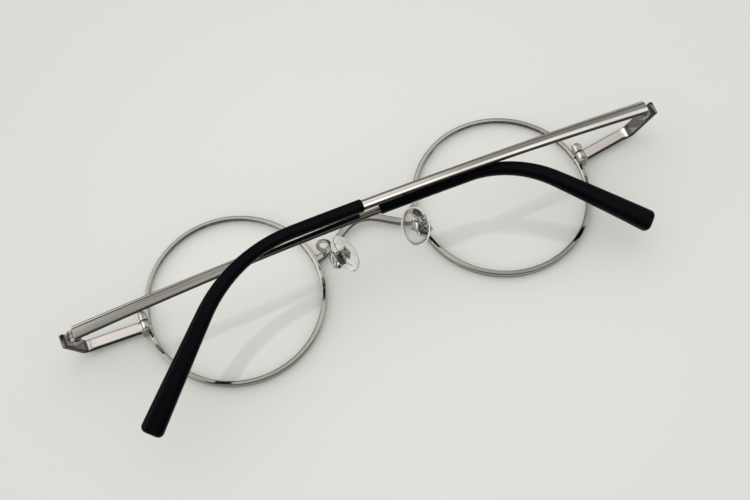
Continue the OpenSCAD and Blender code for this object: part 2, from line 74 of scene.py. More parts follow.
window_level = 1.2
skylight_rightward = ((0.02, 0.12), (0.3, 0.42))
skylight_away = ((-0.1, 0.0), (0.22, 0.34))
skylight_up = (0.6, 0.8)
skylight_level = 0.8
side_lamps = (((-0.80, 0.20, 0.56), 0.60, 1.45), ((0.95, 0.0, 0.31), 0.75, 0.65))
lamp_core = 0.95


def add_node(tree, kind, inputs=None, **settings):
    """A node of a tree, with its inputs set to values or linked to sockets."""
    made = tree.nodes.new(kind)
    for key, value in settings.items():
        setattr(made, key, value)
    for key, value in (inputs or {}).items():
        if isinstance(value, bpy.types.NodeSocket):
            tree.links.new(value, made.inputs[key])
        else:
            made.inputs[key].default_value = value
    return made


def ramp(tree, value, low, high, at_low=0.0, at_high=1.0):
    """A smooth step of a value, from at_low at low to at_high at high."""
    inputs = {"Value": value, "From Min": low, "From Max": high, "To Min": at_low, "To Max": at_high}
    return add_node(tree, "ShaderNodeMapRange", inputs, interpolation_type="SMOOTHSTEP").outputs["Result"]


def combine(tree, operation, a, b):
    """Two values put through one operation."""
    return add_node(tree, "ShaderNodeMath", {0: a, 1: b}, operation=operation).outputs[0]


def product(tree, first, *others):
    """The product of several values."""
    for other in others:
        first = combine(tree, "MULTIPLY", first, other)
    return first


def band(tree, value, rise, fall):
    """One between a value's smooth rise and its smooth fall, and nought outside them."""
    return product(tree, ramp(tree, value, *rise), ramp(tree, value, *fall, 1.0, 0.0))


def blend(tree, share, first, second):
    """A mix of two colours, each of them a socket or three numbers."""
    first, second = (c if isinstance(c, bpy.types.NodeSocket) else (*c, 1) for c in (first, second))
    return add_node(tree, "ShaderNodeMix", {0: share, 6: first, 7: second}, data_type="RGBA").outputs[2]


def noise(tree, place, scale, detail):
    """Noise over a place, with one scale for all axes or one for each."""
    if isinstance(scale, tuple):
        place = add_node(tree, "ShaderNodeMapping", {"Vector": place, "Scale": scale}).outputs[0]
        scale = 1.0
    made = add_node(tree, "ShaderNodeTexNoise", {"Vector": place, "Scale": scale, "Detail": detail})
    return made.outputs["Fac"]


def relief(tree, shader, height, strength, distance):
    """Fine relief on a shader's surface."""
    bump = add_node(tree, "ShaderNodeBump", {"Height": height, "Strength": strength, "Distance": distance})
    tree.links.new(bump.outputs[0], shader.inputs["Normal"])


def new_material(name):
    """A new material, its node tree and its shader."""
    made = bpy.data.materials.new(name)
    made.use_nodes = True
    return made, made.node_tree, made.node_tree.nodes["Principled BSDF"]


world = bpy.data.worlds.new("studio")
world.use_nodes = True
bpy.context.scene.world = world
sky = world.node_tree
heading = add_node(sky, "ShaderNodeTexCoord").outputs["Generated"]
axes = add_node(sky, "ShaderNodeSeparateXYZ", {"Vector": heading}).outputs
rightward, away, up = axes["X"], axes["Y"], axes["Z"]
room = product(sky, ramp(sky, away, *room_away), ramp(sky, up, *room_up),
               ramp(sky, rightward, *room_rightward))
far = ramp(sky, away, *room_end)
dark_wall = product(sky, band(sky, away, *dark_wall_away), ramp(sky, up, *dark_wall_up))
shade = add_node(sky, "ShaderNodeMapRange", {
    "Value": dark_wall, "To Min": 1.0, "To Max": dark_wall_level}).outputs["Result"]
window = product(sky, ramp(sky, rightward, *window_rightward), band(sky, away, *window_away),
                 ramp(sky, up, *window_up), window_level)
skylight = product(sky, band(sky, rightward, *skylight_rightward), band(sky, away, *skylight_away),
                   ramp(sky, up, *skylight_up), skylight_level)
level = product(sky, combine(sky, "ADD", product(sky, room, shade), skylight), far)
level = combine(sky, "ADD", level, window)
for lamp_heading, lamp_edge, strength in side_lamps:
    facing = add_node(sky, "ShaderNodeVectorMath", {0: heading, 1: lamp_heading}, operation="DOT_PRODUCT")
    lamp = ramp(sky, facing.outputs["Value"], lamp_edge, lamp_core)
    level = combine(sky, "ADD", level, product(sky, lamp, strength))
overhead = add_node(sky, "ShaderNodeVectorMath", {0: heading, 1: dome_heading}, operation="DOT_PRODUCT")
dome = ramp(sky, overhead.outputs["Value"], 0.0, 1.0, *dome_levels)
ray = add_node(sky, "ShaderNodeLightPath").outputs
by_ray = add_node(sky, "ShaderNodeMix", {0: ray["Is Glossy Ray"], 2: dome, 3: level}, data_type="FLOAT")
lit = add_node(sky, "ShaderNodeBackground", {"Color": light_colour, "Strength": by_ray.outputs[0]})
plain = add_node(sky, "ShaderNodeBackground", {"Color": room_colour, "Strength": 1.0})
both = add_node(sky, "ShaderNodeMixShader", {
    0: ray["Is Camera Ray"], 1: lit.outputs[0], 2: plain.outputs[0]})
sky.links.new(both.outputs[0], sky.nodes["World Output"].inputs["Surface"])

paint, tree, shader = new_material("table_paint")
on_table = add_node(tree, "ShaderNodeTexCoord").outputs["Object"]
mottle = noise(tree, on_table, 9.0, 2.0)
tone = blend(tree, mottle, table_colour, [table_mottle * c for c in table_colour])
# Painted pool of light on the table: its colour brightens near the glasses and darkens towards the edges.
from_centre = add_node(tree, "ShaderNodeVectorMath", {0: on_table}, operation="LENGTH").outputs["Value"]
painted_light_pool = add_node(tree, "ShaderNodeVectorMath", {
    0: tone, 1: ramp(tree, from_centre, *painted_pool_edges, *painted_pool_levels)}, operation="MULTIPLY")
tree.links.new(painted_light_pool.outputs[0], shader.inputs["Base Color"])
shader.inputs["Roughness"].default_value = 0.9
shader.inputs["Specular IOR Level"].default_value = 0.1

table_mesh = bpy.data.meshes.new("table")
table_corners = [(x * table_half, y * table_half, table_low) for x, y in ((-1, -1), (1, -1), (1, 1), (-1, 1))]
table_mesh.from_pydata(table_corners, [], [(0, 1, 2, 3)])
table = bpy.data.objects.new("table", table_mesh)
table_mesh.materials.append(paint)
bpy.context.scene.collection.objects.link(table)

# The camera
# It looks down on the glasses from the foot of the lenses, close enough for
# the near hinge to show larger, and is rolled so that the bars run uphill.
camera_distance = 0.241149
camera_tilt = math.radians(25.48135)
camera_azimuth = math.radians(-16.14359)
camera_roll = math.radians(-24.3350)
mm = 0.001
rim_low, rim_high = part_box("rim_left")
lens_line = (rim_low.y + rim_high.y) / 2
camera_target = Vector((-9.39115 * mm, lens_line + 4.10193 * mm, 0))
photo_size = (750, 500)
focal_px = 1047.73
centre_px = (325.858, 247.618)

toward = Vector((math.sin(camera_tilt) * math.sin(camera_azimuth),
                 -math.sin(camera_tilt) * math.cos(camera_azimuth), math.cos(camera_tilt)))
level_right = Vector((0, 1, 0)).cross(toward).normalized()
level_up = toward.cross(level_right)
right = math.cos(camera_roll) * level_right + math.sin(camera_roll) * level_up
upward = math.cos(camera_roll) * level_up - math.sin(camera_roll) * level_right
camera_data = bpy.data.cameras.new("camera")
camera_data.sensor_width = 36
camera_data.lens = focal_px / photo_size[0] * camera_data.sensor_width
camera_data.shift_x = (photo_size[0] / 2 - centre_px[0]) / photo_size[0]
camera_data.shift_y = (centre_px[1] - photo_size[1] / 2) / photo_size[0]
camera_data.clip_start = 0.01
camera = bpy.data.objects.new("camera", camera_data)
turn = Matrix((right, upward, toward)).transposed().to_4x4()
camera.matrix_world = Matrix.Translation(camera_target + camera_distance * toward) @ turn
bpy.context.scene.collection.objects.link(camera)
bpy.context.scene.camera = camera
bpy.context.scene.view_settings.view_transform = "Standard"

# The rims
# Two rings of grooved nickel silver wire, bent round the lenses and cut
# through at the closing blocks. The wire is polished, then lightly lacquered.
sides = {"left": -1, "right": 1}
lens_x = -(rim_low.x + rim_high.x) / 2
rim_out = (rim_high.y - rim_low.y) / 2
rim_w = 1.05 * mm
rim_depth = rim_high.z - rim_low.z
rim_round = 0.25 * mm
rim_in = rim_out - rim_w
rim_shade = (0.42, 0.402, 0.37)
groove_shift = 0.075 * mm
groove_z = rim_depth / 2 + groove_shift
groove_half = 0.6 * mm
groove_depth = 0.5 * mm
slit_w = 0.25 * mm
slit_y = 1.7 * mm
ring_points = 361
corner_support = 0.06
cast_grain = ((900, 900, 900), (500, 500, 500))
drawn_grain = ((60, 5200, 1), (26, 1500, 1))
cloud_scale = 140.0
warm_share = (0.94, 0.92, 0.89)
streak_band = (0.42, 0.66)
streak_level = 0.66
rough_band = (0.12, 0.42)
rough_least, rough_most = 0.8, 1.3
polish_depth = 0.000003
# Painted shade: the dark tone laid on the bend and leg of the endpieces.
bend_shade_tone = (0.07, 0.065, 0.06)
# Painted shade: the dark tone laid on the narrow sides of bars, strips and the bridge, standing in for dark
# reflections.
edge_shade_tone = (0.008, 0.0075, 0.007)
edge_shade_from, edge_shade_full = 0.3, 0.7
body_of_node = {n: body for body, nodes in frame["record"]["behaviour"]["bodies"].items() for n in nodes}


def nickel(name, tone, rough, grain, streaked=1.0, edges=0.0, bend_shading=None):
    """Polished nickel silver, with polishing marks along the wire, and painted shade on its narrow sides and in
    its bends.

    The grain is "UV" for pieces with a UV map, "ring" for the rims and "cast"
    for small parts without a direction. Edges gives the share of painted shade on the narrow
    sides, which stands in for dark reflections there. The last argument gives the places
    along a piece where painted shade in its bend rises, where it is full, and where it eases a little again.
    """
    made, tree, shader = new_material(name)
    coordinates = add_node(tree, "ShaderNodeTexCoord").outputs
    if grain == "ring":
        along = add_node(tree, "ShaderNodeAttribute", attribute_name="along").outputs["Fac"]
        across = add_node(tree, "ShaderNodeAttribute", attribute_name="across").outputs["Fac"]
        surface = add_node(tree, "ShaderNodeCombineXYZ", {"X": along, "Y": across}).outputs[0]
    else:
        surface = coordinates["UV" if grain == "UV" else "Object"]
    fine, coarse = cast_grain if grain == "cast" else drawn_grain
    lines, streaks = noise(tree, surface, fine, 4.0), noise(tree, surface, coarse, 4.0)
    cloud = noise(tree, coordinates["Object"], cloud_scale, 4.0)
    colour = blend(tree, cloud, tone, [c * share for c, share in zip(tone, warm_share)])
    streak = ramp(tree, streaks, *streak_band, 0.0, streaked)
    colour = blend(tree, streak, colour, [streak_level * c for c in tone])
    # Painted shade in the bend: the colour darkens from the given places along the piece on.
    if bend_shading:
        reached = add_node(tree, "ShaderNodeSeparateXYZ", {"Vector": coordinates["UV"]}).outputs["X"]
        bend_shaded = product(tree, ramp(tree, reached, *bend_shading[:2], 0.0, 0.97),
                         ramp(tree, reached, *bend_shading[2:], 1.0, 0.8))
        colour = blend(tree, bend_shaded, colour, bend_shade_tone)
    # Painted shade on the narrow sides: they are made darker, less metallic and barely specular, standing in for
    # dark reflections.
    if edges:
        narrow = add_node(tree, "ShaderNodeAttribute", attribute_name="narrow").outputs["Fac"]
        colour = blend(tree, ramp(tree, narrow, edge_shade_from, edge_shade_full, 0.0, edges), colour, edge_shade_tone)
        tree.links.new(ramp(tree, narrow, edge_shade_from, edge_shade_full, 1.0, 1.0 - edges), shader.inputs["Metallic"])
        shader.inputs["Specular IOR Level"].default_value = 0.05
    tree.links.new(colour, shader.inputs["Base Color"])
    blurred = ramp(tree, product(tree, lines, cloud), *rough_band, rough * rough_least, rough * rough_most)
    tree.links.new(blurred, shader.inputs["Roughness"])
    relief(tree, shader, lines, 0.3, polish_depth)
    shader.inputs["Metallic"].default_value = 1.0
    return made


def finish_piece(piece, slot, *nodes):
    """Puts a finished piece in place of its nodes, on their body."""
    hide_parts(*nodes)
    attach(piece, body_of_node[nodes[0]])
    return piece


def smooth(mesh, angle=35):
    """Shades a mesh smooth, apart from edges sharper than the angle in degrees."""
    mesh.shade_smooth()
    mesh.set_sharp_from_angle(angle=math.radians(angle))


def plain_mesh(source, name):
    """The evaluated mesh of a source object as an object of its own."""
    graph = bpy.context.evaluated_depsgraph_get()
    mesh = bpy.data.meshes.new_from_object(source.evaluated_get(graph))
    mesh.name = name
    made = bpy.data.objects.new(name, mesh)
    bpy.context.scene.collection.objects.link(made)
    bpy.data.objects.remove(source)
    return made


def rounded_outline(half_a, half_b, r, steps=4):
    """Points of a rounded rectangle, with a support point beside each corner."""
    points = []
    for quarter in range(4):
        sa = 1 if quarter in (0, 3) else -1
        sb = 1 if quarter < 2 else -1
        for k in range(steps + 1):
            angle = math.pi / 2 * (quarter + k / steps)
            points.append((sa * (half_a - r) + r * math.cos(angle), sb * (half_b - r) + r * math.sin(angle)))
    supported = []
    for i, p in enumerate(points):
        supported.append(p)
        if i % (steps + 1) == steps:
            q = points[(i + 1) % len(points)]
            for share in (corner_support, 1 - corner_support):
                supported.append((p[0] + (q[0] - p[0]) * share, p[1] + (q[1] - p[1]) * share))
    return supported


ring_tree = bpy.data.node_groups.new("wire_ring", "GeometryNodeTree")
ring_tree.is_modifier = True
ring_sockets = {}
for label, kind in (("Geometry", "Geometry"), ("Radius", "Float"), ("Start", "Float"), ("Sweep", "Float"),
                    ("Centre", "Vector"), ("Material", "Material")):
    ring_sockets[label] = ring_tree.interface.new_socket(
        label, in_out="INPUT", socket_type="NodeSocket" + kind).identifier
ring_tree.interface.new_socket("Geometry", in_out="OUTPUT", socket_type="NodeSocketGeometry")
given = add_node(ring_tree, "NodeGroupInput").outputs
arc = add_node(ring_tree, "GeometryNodeCurveArc", {
    "Resolution": ring_points, "Radius": given["Radius"],
    "Start Angle": given["Start"], "Sweep Angle": given["Sweep"]})
length = add_node(ring_tree, "GeometryNodeSplineParameter").outputs["Length"]
along_arc = add_node(ring_tree, "GeometryNodeStoreNamedAttribute", {
    "Geometry": arc.outputs["Curve"], "Name": "along", "Value": length}, data_type="FLOAT", domain="POINT")
across_wire = add_node(ring_tree, "GeometryNodeStoreNamedAttribute", {
    "Geometry": given["Geometry"], "Name": "across", "Value": length}, data_type="FLOAT", domain="POINT")
swept = add_node(ring_tree, "GeometryNodeCurveToMesh", {
    "Curve": along_arc.outputs[0], "Profile Curve": across_wire.outputs[0], "Fill Caps": True})
placed = add_node(ring_tree, "GeometryNodeTransform", {
    "Geometry": swept.outputs[0], "Translation": given["Centre"]})
whole = add_node(ring_tree, "GeometryNodeRealizeInstances", {"Geometry": placed.outputs[0]})
dressed = add_node(ring_tree, "GeometryNodeSetMaterial", {
    "Geometry": whole.outputs[0], "Material": given["Material"]})
ring_end = add_node(ring_tree, "NodeGroupOutput")
ring_tree.links.new(dressed.outputs[0], ring_end.inputs[0])

rim_metal = nickel("rim_metal", rim_shade, 0.08, "ring")
rim_mid = rim_in + rim_w / 2
wire_section = [(a, -b - rim_depth / 2) for a, b in rounded_outline(rim_w / 2, rim_depth / 2, rim_round)]
groove = [(-rim_w / 2, -groove_z - groove_half), (-rim_w / 2 + groove_depth, -groove_z),
          (-rim_w / 2, -groove_z + groove_half)]
inside = [i for i, p in enumerate(wire_section) if math.isclose(p[0], -rim_w / 2)]
wire_section[inside[1] + 1:inside[1] + 1] = groove
wire_section.reverse()
for side, sign in sides.items():
    section = bpy.data.curves.new("rim_section", "CURVE")
    section.dimensions = "3D"
    line = section.splines.new("POLY")
    line.points.add(len(wire_section) - 1)
    for point, (a, b) in zip(line.points, wire_section):
        point.co = (a, b, 0, 1)
    line.use_cyclic_u = True
    source = bpy.data.objects.new("rim_source", section)
    bpy.context.scene.collection.objects.link(source)
    bend = source.modifiers.new("ring", "NODES")
    bend.node_group = ring_tree
    slit_turn = math.asin((slit_y + slit_w / 2) / rim_mid)
    slit_angle = 2 * math.asin(slit_w / 2 / rim_mid)
    start = math.pi - slit_turn + slit_angle if sign < 0 else slit_turn
    bend[ring_sockets["Radius"]] = rim_mid
    bend[ring_sockets["Start"]] = start
    bend[ring_sockets["Sweep"]] = 2 * math.pi - slit_angle
    bend[ring_sockets["Centre"]] = (sign * lens_x, lens_line, 0)
    bend[ring_sockets["Material"]] = rim_metal
    rim = plain_mesh(source, "wire_rim_" + side)
    smooth(rim.data)
    finish_piece(rim, "polished_nickel_silver", "rim_" + side)

# The lenses
# Two round glass lenses with plain curved faces and a bevelled edge, which
# snaps into the groove of the rim and is held when the rim is closed.
lens_gap = 0.09 * mm
lens_curve = 600 * mm
lens_t = 2 * groove_half
lens_r = rim_in - lens_gap
lens_turns = 144
merge_within = 1e-7


def lathe(outline, count):
    """Faces of an outline of (radius, height) pairs, turned about Z."""
    points = [(r * math.cos(2 * math.pi * k / count), r * math.sin(2 * math.pi * k / count), z)
              for r, z in outline for k in range(count)]
    quads = []
    for low in range(0, (len(outline) - 1) * count, count):
        high = low + count
        quads += [(low + k, low + (k + 1) % count, high + (k + 1) % count, high + k) for k in range(count)]
    return points, quads


def new_object(name, work, material, angle=35):
    """An object of a worked mesh, with its faces outward."""
    bmesh.ops.recalc_face_normals(work, faces=work.faces)
    mesh = bpy.data.meshes.new(name)
    work.to_mesh(mesh)
    work.free()
    mesh.materials.append(material)
    smooth(mesh, angle)
    made = bpy.data.objects.new(name, mesh)
    bpy.context.scene.collection.objects.link(made)
    return made


def clean_object(name, points, faces, place, material, angle=35):
    """A closed mesh put in place, with its doubles merged and its faces outward."""
    work = bmesh.new()
    corners = [work.verts.new(place @ Vector(p)) for p in points]
    for face in faces:
        work.faces.new([corners[i] for i in face])
    bmesh.ops.remove_doubles(work, verts=work.verts, dist=merge_within)
    return new_object(name, work, material, angle)


def mirrored(sign):
    """The frame of one side: as drawn on the left, and its mirror on the right."""
    return Matrix.Translation((0, lens_line, 0)) @ Matrix.Diagonal((-sign, 1, 1, 1))


def clear_to_light(tree, shader, tint):
    """Lets light for the table pass straight through a clear material."""
    passing = add_node(tree, "ShaderNodeBsdfTransparent", {"Color": tint})
    ray = add_node(tree, "ShaderNodeLightPath").outputs
    for_light = combine(tree, "MAXIMUM", ray["Is Shadow Ray"], ray["Is Diffuse Ray"])
    mixed = add_node(tree, "ShaderNodeMixShader", {0: for_light, 1: shader.outputs[0], 2: passing.outputs[0]})
    tree.links.new(mixed.outputs[0], tree.nodes["Material Output"].inputs["Surface"])


lens_glass, tree, shader = new_material("lens_glass")
shader.inputs["Base Color"].default_value = (1, 1, 0.996, 1)
shader.inputs["IOR"].default_value = 1.5
shader.inputs["Transmission Weight"].default_value = 1.0
shader.inputs["Specular IOR Level"].default_value = 0.1
haze = noise(tree, add_node(tree, "ShaderNodeTexCoord").outputs["Object"], 45.0, 5.0)
tree.links.new(ramp(tree, haze, 0.45, 0.75, 0.0, 0.035), shader.inputs["Roughness"])
clear_to_light(tree, shader, (0.995, 0.997, 0.99, 1))

face_steps = 12
sink = lens_r ** 2 / (2 * lens_curve)
edge_low = groove_z - groove_half
face_shares = [i / face_steps for i in range(face_steps + 1)]
face_line = [(lens_r * share, edge_low - sink + sink * share ** 2) for share in face_shares]
lens_outline = face_line + [(lens_r + groove_depth, groove_z)]
lens_outline += [(r, z + lens_t) for r, z in reversed(face_line)]
for side, sign in sides.items():
    points, faces = lathe(lens_outline, lens_turns)
    place = mirrored(-1) @ Matrix.Translation((sign * lens_x, 0, 0))
    lens = clean_object("glass_lens_" + side, points, faces, place, lens_glass)
    finish_piece(lens, "lens_glass", "lens_" + side)

# The bridge
# One flat nickel silver bar, bent into an arch over the nose. Its ends are
# soldered to the backs of the rims, where the solder leaves a small flare.
bridge_foot_y = 1.7 * mm
bridge_rise = 5.3 * mm
bridge_w = 1.6 * mm
bridge_t = 1.2 * mm
bridge_back = 0.9 * mm
bridge_round = 0.35 * mm
bridge_steps = 72
bridge_into_rim = 0.3 * mm
solder_flare = 0.25
solder_reach = 0.5 * mm


def sweep(name, path, directions, ups, outlines, place, material, angle=35):
    """A solid skin over outlines of (up, side) pairs along a path, with a UV map in metres.

    Its attribute "narrow" is one on the narrow sides and nought on the broad ones.
    """
    work = bmesh.new()
    layer = work.loops.layers.uv.new("UVMap")
    narrow = work.verts.layers.float.new("narrow")
    rings, along = [], [0.0]
    for i, (p, t, up, shape) in enumerate(zip(path, directions, ups, outlines)):
        across = t.cross(up).normalized()
        lift = across.cross(t).normalized()
        rings.append([work.verts.new(place @ (p + lift * a + across * b)) for a, b in shape])
        tall = max(a for a, b in shape) > max(b for a, b in shape)
        for k, corner in enumerate(rings[-1]):
            before, after = shape[k - 1], shape[(k + 1) % len(shape)]
            corner[narrow] = abs(before[tall] - after[tall]) / math.dist(before, after)
        if i:
            along.append(along[-1] + (path[i] - path[i - 1]).length)
    shape = outlines[len(outlines) // 2]
    around = [0.0]
    for k in range(len(shape)):
        around.append(around[-1] + math.dist(shape[k], shape[(k + 1) % len(shape)]))
    count = len(shape)
    for i in range(len(rings) - 1):
        for k in range(count):
            n = (k + 1) % count
            face = work.faces.new((rings[i][k], rings[i][n], rings[i + 1][n], rings[i + 1][k]))
            for loop, uv in zip(face.loops, ((i, k), (i, k + 1), (i + 1, k + 1), (i + 1, k))):
                loop[layer].uv = (along[uv[0]], around[uv[1]])
    for ring in (rings[0], rings[-1]):
        work.faces.new(ring)
    return new_object(name, work, material, angle)


def headings(path, first=None, last=None):
    """The direction of a path at each of its points."""
    found = []
    for i in range(len(path)):
        found.append((path[min(i + 1, len(path) - 1)] - path[max(i - 1, 0)]).normalized())
    found[0] = first or found[0]
    found[-1] = last or found[-1]
    return found


# The bridge metal carries painted shade on its narrow sides.
wire_metal = nickel("wire_metal", (0.44, 0.425, 0.39), 0.10, "UV", 1.0, 0.6)
foot = lens_x - rim_out
ends = foot + bridge_into_rim
arch = []
flares = []
for i in range(bridge_steps + 1):
    x = -ends + 2 * ends * i / bridge_steps
    wave = (1 + math.cos(math.pi * min(1, abs(x) / (lens_x - rim_mid)))) / 2
    arch.append(Vector((x, bridge_foot_y + bridge_rise * wave, rim_depth / 2 + bridge_back * wave)))
    flares.append(1 + solder_flare * math.exp(-max(0, foot - abs(x)) / solder_reach))
bridge = sweep("bridge_bar", arch, headings(arch, Vector((1, 0, 0)), Vector((1, 0, 0))),
               [Vector((0, 0, 1))] * len(arch),
               [rounded_outline(f * bridge_t / 2, f * bridge_w / 2, bridge_round) for f in flares],
               mirrored(-1), wire_metal)
finish_piece(bridge, "polished_nickel_silver", "bridge")

# The closing blocks and their screws
# Each rim is cut through and closed by a split block of nickel silver: two
# barrels on feet, soldered above and below the slit, and drawn together by a
# slotted steel screw. Edges are tumbled, so that they are slightly rounded.
block_ease = 0.07 * mm
screw_ease = 0.04 * mm
ease_from = math.radians(25)
ease_steps = 2
flat_within = math.radians(0.5)
block_metal = nickel("block_metal", (0.42, 0.40, 0.365), 0.11, "cast")


def turned_steel(name, tone):
    """Turned stainless steel, a little greyer and duller than the frame."""
    made, tree, shader = new_material(name)
    place = add_node(tree, "ShaderNodeTexCoord").outputs["Object"]
    marks = noise(tree, place, 5200.0, 2.0)
    tree.links.new(blend(tree, marks, tone, [0.8 * c for c in tone]), shader.inputs["Base Color"])
    tree.links.new(ramp(tree, marks, 0.3, 0.7, 0.2, 0.36), shader.inputs["Roughness"])
    relief(tree, shader, marks, 0.4, 0.000005)
    shader.inputs["Metallic"].default_value = 1.0
    return made


def eased(name, node, width, material, slot="polished_nickel_silver"):
    """A CAD piece with its edges rounded, in place of the node."""
    work = bmesh.new()
    work.from_mesh(frame["nodes"][node].data)
    bmesh.ops.remove_doubles(work, verts=work.verts, dist=2 * merge_within)
    bmesh.ops.dissolve_limit(work, angle_limit=flat_within, verts=work.verts, edges=work.edges)
    sharp = [e for e in work.edges if len(e.link_faces) == 2 and e.calc_face_angle() > ease_from]
    bmesh.ops.bevel(work, geom=sharp, offset=width, offset_type="OFFSET", segments=ease_steps, profile=0.5,
                    affect="EDGES", clamp_overlap=True)
    bmesh.ops.triangulate(work, faces=[f for f in work.faces if len(f.verts) > 4])
    return finish_piece(new_object(name, work, material, 30), slot, node)


screw_steel = turned_steel("screw_steel", (0.36, 0.352, 0.335))
for side in sides:
    eased("block_upper_" + side, "closing_block_upper_" + side, block_ease, block_metal)
    eased("block_lower_" + side, "closing_block_lower_" + side, block_ease, block_metal)
    eased("block_screw_" + side, "closing_screw_" + side, screw_ease, screw_steel, "screw_steel")

# The endpieces
# A flat strip is soldered to the upper block, runs outward along the front,
# and turns up through a tight bend into a straight leg that carries the hinge.
strip_t = 1.15 * mm
strip_h = 2.6 * mm
strip_z = 0.93 * mm
leg_h = 3 * mm
leg_low = 0.15 * mm
strip_round = 0.3 * mm
bend_r = 2.2 * mm
bend_a = math.radians(78)
leaf_reach = 1.9 * mm
bar_start = 0.3 * mm
end_gap = 0.1 * mm
block_out = 55.05 * mm
flat_steps = 6
bend_steps = 20
leg_steps = 10
cut_half = strip_t / 2 / math.sin(bend_a)
# Where painted shade in the endpiece bend rises, is full and eases a little again, along the strip.
bend_shade_span = (12.2 * mm, 13.2 * mm, 14.2 * mm, 15.4 * mm)
joints = {j["name"]: j for j in frame["joints"]}
axis = joints["left_temple_fold"]["axis"]
tilt = math.atan2(abs(axis[2]), abs(axis[1]))


def hinge_point(side):
    """The hinge of one side, as drawn on the left, from the lens line."""
    x, y, z = joints[side + "_temple_fold"]["pos_m"]
    return Vector((-abs(x), y - lens_line, z))


def from_hinge(x, y, z):
    """A direction of the hinge: X across, Y along its axis, Z along the open temple."""
    return Vector((x, y * math.cos(tilt) - z * math.sin(tilt), y * math.sin(tilt) + z * math.cos(tilt)))


def bend_step(a):
    """The way from the start of the bend to where it has turned by an angle."""
    return bend_r * from_hinge(-math.sin(a), 0, 1 - math.cos(a))


leg_line = from_hinge(-math.cos(bend_a), 0, math.sin(bend_a))
# The strip's colour carries painted shade in its bend and leg, and on its narrow sides.
strip_metal = nickel("strip_metal", (0.54, 0.515, 0.485), 0.10, "UV", 0.2, 1.0, bend_shade_span)
for side, sign in sides.items():
    top = hinge_point(side) + from_hinge(-leaf_reach - cut_half, -leg_low, bar_start - end_gap)
    rise = (top.z - strip_z) / math.cos(tilt) - bend_r * (1 - math.cos(bend_a))
    bend_at = top - rise / math.sin(bend_a) * leg_line - bend_step(bend_a)
    foot_at = Vector((-block_out, slit_y, strip_z))
    leg_at = bend_at + bend_step(bend_a)
    path = [foot_at.lerp(bend_at, k / flat_steps) for k in range(flat_steps)]
    path += [bend_at + bend_step(bend_a * k / bend_steps) for k in range(bend_steps + 1)]
    path += [leg_at.lerp(top, k / leg_steps) for k in range(1, leg_steps + 1)]
    ups, outlines = [], []
    for i in range(len(path)):
        turned = min(max((i - flat_steps) / bend_steps, 0), 1)
        lean = turned * turned * (3 - 2 * turned)
        ups.append((1 - lean) * Vector((0, 1, 0)) + lean * from_hinge(0, 1, 0))
        outlines.append(rounded_outline((strip_h + (leg_h - strip_h) * lean) / 2,
                                        cut_half if i == len(path) - 1 else strip_t / 2, strip_round))
    directions = headings(path, Vector((-1, 0, 0)), from_hinge(0, 0, 1))
    strip = sweep("endpiece_strip_" + side, path, directions, ups, outlines, mirrored(sign), strip_metal)
    finish_piece(strip, "polished_nickel_silver", "endpiece_" + side)

# The hinges
# Three-knuckle barrel hinges: a leaf with two knuckles inside the endpiece,
# one with a single knuckle inside the temple, and a slotted screw as the pin.
leaf_ease = 0.06 * mm
hinge_metal = nickel("hinge_metal", (0.22, 0.208, 0.185), 0.25, "cast")
for side in sides:
    eased("front_leaf_" + side, "hinge_front_leaf_" + side, leaf_ease, hinge_metal)
    eased("temple_leaf_" + side, "hinge_temple_leaf_" + side, leaf_ease, hinge_metal)
    eased("hinge_pin_" + side, "hinge_screw_" + side, screw_ease, screw_steel, "screw_steel")

# The temples
# Long bars of nickel silver with polished faces and broken edges, which taper
# from a square end at the hinge. Each was bent by hand, so the two differ a
# little. Inside the tip the bar is drawn down to a thin core.
bar_h1 = 2.95 * mm
bar_h2 = 2.1 * mm
taper_len = 45 * mm
bar_t = 1.35 * mm
bar_round = 0.3 * mm
bar_crown = 0.08 * mm
line_level = 0.58
line_depth = 0.1 * mm
faint_line = 0.02 * mm
line_spread = 1.6
line_least = 1 * mm
crown_steps = 14
corner_share = 0.8
bar_end_round = 0.35 * mm
bow_r = 1350 * mm
bend_start = {"left": 91.8 * mm, "right": 85.7 * mm}
ear_bend_r = {"left": 25.4 * mm, "right": 33.3 * mm}
ear_drop = {"left": math.radians(45), "right": math.radians(44.2)}
bar_rise = {"left": math.radians(2.7), "right": math.radians(2.3)}
temple_len = {"left": 134.8 * mm, "right": 137.4 * mm}
tip_start = {"left": 70.5 * mm, "right": 69.2 * mm}
tip_sag = 2.9 * mm
core_w = 1.5 * mm
core_t = 1 * mm
core_short = 7 * mm
core_round = 0.3 * mm
core_step = 0.01 * mm
look_ahead = 0.05 * mm
end_steps = 12
bar_steps = 60
core_steps = 40


def temple_point(side, t):
    """A temple's centre line: along the slightly bowed bar, down for the ear, out from the head."""
    past = max(0, t - bend_start[side])
    r = ear_bend_r[side]
    bow = min(t, bend_start[side]) / bow_r
    turn = bow + min(past / r, ear_drop[side])
    rest = max(0, past - r * ear_drop[side])
    along = bow_r * math.sin(bow) + r * (math.sin(turn) - math.sin(bow)) + rest * math.cos(turn)
    fall = bow_r * (1 - math.cos(bow)) + r * (math.cos(bow) - math.cos(turn)) + rest * math.sin(turn)
    sag = tip_sag * (past / (temple_len[side] - bend_start[side])) ** 2
    return Vector((along, -fall, leaf_reach + bar_t / 2 - sag))


def temple_line(side, t):
    """The direction of a temple's centre line."""
    return (temple_point(side, t + look_ahead) - temple_point(side, t - look_ahead)).normalized()


def at_temple(side):
    """The frame of a folded temple: X along it and Z out of its outer face."""
    fold = math.radians(90 - joints[side + "_temple_fold"]["range_deg"][1])
    return (mirrored(sides[side]) @ Matrix.Translation(hinge_point(side)) @ Matrix.Rotation(tilt, 4, "X")
            @ Matrix.Rotation(-fold, 4, "Y") @ Matrix.Rotation(bar_rise[side], 4, "Z"))


